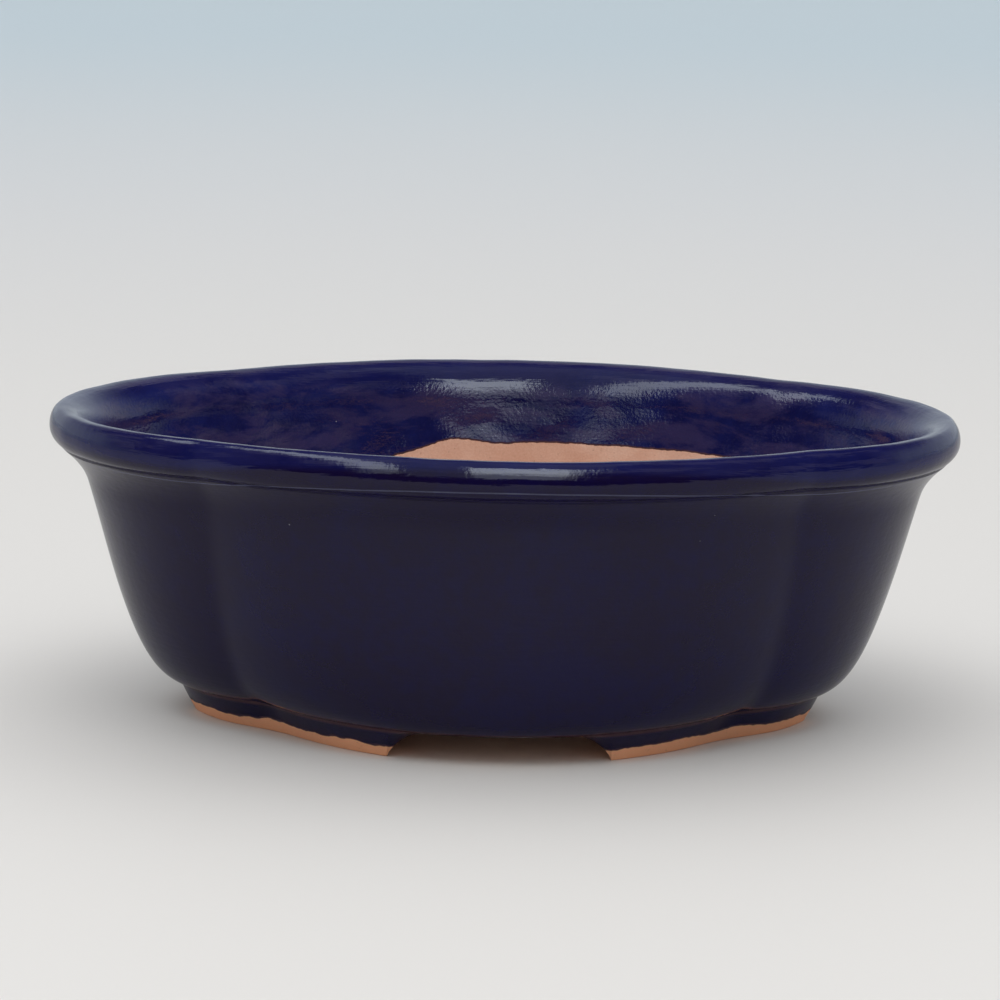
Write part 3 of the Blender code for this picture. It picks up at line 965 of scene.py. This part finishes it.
def foot_grid():
    """The front right foot's points [column, row], from the front arch's tip to the right one's.

    A column stands at share s of the walk from a lobe's crown to the notch, where sin(angle) is
    x / radius under the side arch and y / radius under the end arch. The arch springs from the
    ground at the angle b and lifts a column by rise * (sin(a) - sin(b)), where its distance from
    the middle is width - shoulder * (1 - cos(a) / cos(b)).
    """
    depth, z = foot_section()
    outlines = BASE_LINE + depth[:, None] * SET_IN
    side_y, side_r, end_x, end_r, hollow_r = outlines.T
    side_angle, end_angle = notch_centres(outlines)[2:]
    bend = hollow_r * (end_angle - side_angle) / 2
    top_angle = np.arcsin((FOOT_Z - 0.01 * MM) / ARCH_RISE + sin(SPRING))
    lift_angle = np.linspace(top_angle, SPRING, TIP_COLUMNS)[:, None]
    inward = 1 - np.cos(lift_angle) / cos(SPRING)
    side_stop = SIDE_ARCH - SIDE_SHOULDER * inward
    end_stop = END_ARCH - END_SHOULDER * inward
    side_share = np.arcsin(side_stop / side_r) * side_r / (side_r * (pi / 2 - side_angle) + bend)
    end_share = np.arcsin(end_stop / end_r) * end_r / (end_r * end_angle + bend)
    to_notch = np.linspace(0, 1, NOTCH_COLUMNS + 1)[1:, None]
    side_share = np.concatenate([side_share, side_share[-1] + (1 - side_share[-1]) * to_notch])
    end_share = np.concatenate([end_share, end_share[-1] + (1 - end_share[-1]) * to_notch])
    x, y = half_lobe(outlines, side_share, True)
    end = half_lobe(outlines, end_share[::-1][1:], False)
    x, y = np.concatenate([x, end[0]]), np.concatenate([y, end[1]])
    lift = ARCH_RISE * (np.sin(lift_angle) - sin(SPRING))
    lift = np.concatenate([lift, np.zeros((NOTCH_COLUMNS, 1))])
    lift = np.concatenate([lift, lift[::-1][1:]])
    height = lift + z * (FOOT_Z - lift) / FOOT_Z
    return np.stack([x, -y, height], axis=-1)


def soften_foot(grid):
    """Averages neighbouring columns away from the foot's two tips, and most of all near the ground."""
    tip = TIP_COLUMNS + 2
    share = ease(grid[..., 2:], 0, FOOT_Z)
    stages = []
    for passes in (SOFT_TOP, SOFT_GROUND):
        for _ in range(passes):
            soft = (np.roll(grid, 1, axis=0) + 2 * grid + np.roll(grid, -1, axis=0)) / 4
            soft[:tip], soft[-tip:] = grid[:tip], grid[-tip:]
            grid = soft
        stages.append(grid)
    return stages[1] * (1 - share) + stages[0] * share


def foot(mirror_x, mirror_y, name):
    """One foot, mirrored from the front right one. The glaze is wiped off its outside near the
    ground, and its section has an even number of points, so one strip closes each end.
    """
    points = soften_foot(foot_grid()) * [mirror_x, mirror_y, 1]
    if mirror_x * mirror_y < 0:
        points = points[::-1]
    depth, z = foot_section()
    rows = np.arange(len(z))
    wiped = WIPED_Z + 0.35 * MM * waves(points * [1, 1, 0], 26 * MM, 31)
    wiped += 0.25 * MM * waves(points, 8 * MM, 33)
    edge = np.where(rows < OUTER_ROWS + TURN_ROWS, points[..., 2] - wiped, -FAR)
    normals = grid_normals(points)
    skin = Skin()
    numbers = skin.grid(points, edge, 1.0, (0.0, z))
    skin.sheet(numbers, normals)
    skin.strip(numbers[:, -1], numbers[:, 0])
    half = numbers.shape[1] // 2
    skin.strip(numbers[0, ::-1][:half], numbers[0, :half])
    skin.strip(numbers[-1, :half], numbers[-1, ::-1][:half])
    skin.finish(f"standing_{name}", name, fired)


foot(1, 1, "foot_front_right")
foot(1, -1, "foot_back_right")
foot(-1, -1, "foot_back_left")
foot(-1, 1, "foot_front_left")

# %% [markdown]
# ## A plain pale table
#
# The pot stands on a pale sheet that goes on past the edges of the view, and its colour cools with
# distance. A large plane is enough. The glaze mirrors the sheet as well, and would turn grey in it,
# so in reflections a nearly black surface is mixed in by a good third, and takes over a short way
# in front of the pot, where the dim room begins.

# %% The table
SHEET_NEAR, SHEET_MIDDLE, SHEET_FAR = (0.765, 0.742, 0.715), (0.72, 0.725, 0.73), (0.59, 0.685, 0.74)
SHEET_MIRRORED = (0.02, 0.02, 0.024, 1.0)
SHEET_DIMMED = 0.38
SHEET_END_Y = -0.42


def pale_table():
    """The sheet, whose colours follow the distance from the pot's middle."""
    half = 14.0
    mesh = bpy.data.meshes.new("table")
    corners = [(-half, -half, 0), (half, -half, 0), (half, half, 0), (-half, half, 0)]
    mesh.from_pydata(corners, [], [(0, 1, 2, 3)])
    material = bpy.data.materials.new("pale_sheet")
    shader = Shader(material)
    place = shader.place()
    radius = shader.node("ShaderNodeVectorMath", {"operation": "LENGTH"}, {0: place})[-1]
    near = shader.blend(radius.ramp(0.5, 1.9), SHEET_NEAR, SHEET_MIDDLE)
    colour = shader.blend(radius.ramp(1.3, 3.6), near, SHEET_FAR)
    principled = shader.tree.nodes["Principled BSDF"]
    shader.tree.links.new(colour.socket, principled.inputs["Base Color"])
    principled.inputs["Roughness"].default_value = 0.6
    principled.inputs["Specular IOR Level"].default_value = 0.2
    dim = shader.tree.nodes.new("ShaderNodeBsdfDiffuse")
    dim.inputs["Color"].default_value = SHEET_MIRRORED
    glossy = shader.rays()["Is Glossy Ray"]
    front = shader.node("ShaderNodeSeparateXYZ", {}, {0: place})[1].ramp(SHEET_END_Y, SHEET_END_Y - 0.05)
    dimmed = glossy * (front * (1 - SHEET_DIMMED) + SHEET_DIMMED)
    mixer = shader.tree.nodes.new("ShaderNodeMixShader")
    shader.tree.links.new(dimmed.socket, mixer.inputs[0])
    shader.tree.links.new(principled.outputs[0], mixer.inputs[1])
    shader.tree.links.new(dim.outputs[0], mixer.inputs[2])
    output = shader.tree.nodes["Material Output"]
    shader.tree.links.new(mixer.outputs[0], output.inputs["Surface"])
    mesh.materials.append(material)
    table = bpy.data.objects.new("table", mesh)
    bpy.context.scene.collection.objects.link(table)
    return table


print("half the sheet's side, metres:", pale_table().dimensions.x / 2)

# %% [markdown]
# ## Soft light
#
# One broad soft light hangs above and in front of the pot. It shades the dull clay and draws the
# soft shadow on the table. A lamp could do it too, but its shadow would be hard. The glaze does not
# mirror the light, because the rectangle would show as a white patch.

# %% One broad light
def soft_light(name, azimuth, elevation, away, width, height, power):
    """A rectangular light that faces the pot. Azimuth 0 is in front of it and 90 to its right."""
    a, e = radians(azimuth), radians(elevation)
    direction = Vector((sin(a) * cos(e), -cos(a) * cos(e), sin(e)))
    data = bpy.data.lights.new(name, "AREA")
    data.shape = "RECTANGLE"
    data.size, data.size_y = width, height
    data.energy = power
    light = bpy.data.objects.new(name, data)
    light.matrix_world = Matrix.Translation(Vector((0, 0, RIM_Z)) + direction * away) @ (
        direction.to_track_quat("Z", "Y").to_matrix().to_4x4()
    )
    light.visible_glossy = False
    bpy.context.scene.collection.objects.link(light)
    return light


light = soft_light("soft_light", -10, 62, 1.9, 1.5, 1.3, 9.0)
print("light stands at, metres:", [round(part, 3) for part in light.matrix_world.translation])

# %% [markdown]
# ## The room
#
# A glossy glaze is drawn by what it mirrors. The room could be built from planes and lamps, but
# each would also light the clay and the table. Here the world's colour depends on the kind of ray:
# dull surfaces see an even ceiling, the glaze mirrors a room, and the camera sees the backdrop.

# %% A room for the mirror
BACKDROP_SEEN, BACKDROP_MIRRORED = (0.515, 0.60, 0.645), (0.47, 0.53, 0.56)
CEILING, WINDOW, DIM_ROOM = (0.97, 0.985, 1.0), (0.86, 0.94, 1.0), (1.0, 0.90, 0.94)


def room():
    """The world's colour by kind of ray.

    In the mirror there is a pale backdrop behind, a dim room in front with lighter patches, and
    one broad window from low in front to past overhead. The angle climb is 0 level in front and a
    quarter turn overhead. The window is bright in its right part, up to a climb of about 0.9, less
    bright along its left edge, and it dims towards its foot.
    """
    world = bpy.data.worlds.new("room")
    bpy.context.scene.world = world
    shader = Shader(world)
    coordinates = shader.node("ShaderNodeTexCoord", {}, {})
    direction = next(output for output in coordinates if output.socket.name == "Generated")
    east, north, up = shader.node("ShaderNodeSeparateXYZ", {}, {0: direction})
    ceiling = up.ramp(0.02, 0.80) * 0.76 + north.ramp(-0.5, 0.6) * 0.44 + 0.10

    climb = up.math("ARCTAN2", north * -1)
    backdrop = north.ramp(-0.10, 0.30) * up.ramp(0.66, 0.24)
    across = east.ramp(-0.62, -0.50) * east.ramp(0.34, 0.22)
    window = climb.ramp(0.08, 0.16) * climb.ramp(2.10, 1.80) * across
    bright = climb.ramp(1.0, 0.85) * east.ramp(-0.14, -0.08) + east.ramp(-0.38, -0.42) * 0.6
    furniture = shader.noise(direction, 0.33, 2.0).ramp(0.50, 0.60) * climb.ramp(0.15, 0.35)
    dim = furniture * (1 - backdrop) * 0.34 + 0.05
    mirrored = shader.blend(window, (0.0, 0.0, 0.0), WINDOW)
    bright = bright.math("MINIMUM", 1.0) * (climb.ramp(0.28, 0.60) * 0.80 + 0.20)
    mirrored = shader.tinted(mirrored, bright * 6.2 + 0.42)
    mirrored = shader.added(mirrored, shader.tinted(DIM_ROOM, dim))
    mirrored = shader.added(mirrored, shader.tinted(BACKDROP_MIRRORED, backdrop))

    rays = shader.rays()
    colour = shader.blend(rays["Is Glossy Ray"], shader.tinted(CEILING, ceiling), mirrored)
    colour = shader.blend(rays["Is Camera Ray"], colour, BACKDROP_SEEN)
    background = world.node_tree.nodes["Background"]
    world.node_tree.links.new(colour.socket, background.inputs["Color"])
    background.inputs["Strength"].default_value = 1.0
    return world


print("nodes in the room:", len(room().node_tree.nodes))

# %% [markdown]
# ## The camera
#
# The camera stands in front, a little above the rim, with a long lens. Its aim could be left to a
# Track To constraint, but it leans by a degree, so its angles are given.

# %% Camera
CAMERA_AWAY = 1.55
CAMERA_ABOVE = radians(8.5)
CAMERA_PITCH = radians(9.685)
CAMERA_ROLL = radians(1.07)
CAMERA_YAW = radians(0.05)

camera_data = bpy.data.cameras.new("camera")
camera_data.sensor_width = 36.0
camera_data.lens = 163.8
camera_data.clip_start = 0.05
camera_data.clip_end = 60.0
camera = bpy.data.objects.new("camera", camera_data)
lean = Matrix.Rotation(CAMERA_ROLL, 3, "Z")
facing = Euler((pi / 2 - CAMERA_PITCH, 0.0, CAMERA_YAW)).to_matrix() @ lean
camera.matrix_world = facing.to_4x4()
camera.location = (0.0, -CAMERA_AWAY * cos(CAMERA_ABOVE), RIM_Z + CAMERA_AWAY * sin(CAMERA_ABOVE))
bpy.context.scene.collection.objects.link(camera)
bpy.context.scene.camera = camera
bpy.context.scene.view_settings.view_transform = "Standard"
print("camera stands at, metres:", [round(part, 3) for part in camera.location])

# %% [markdown]
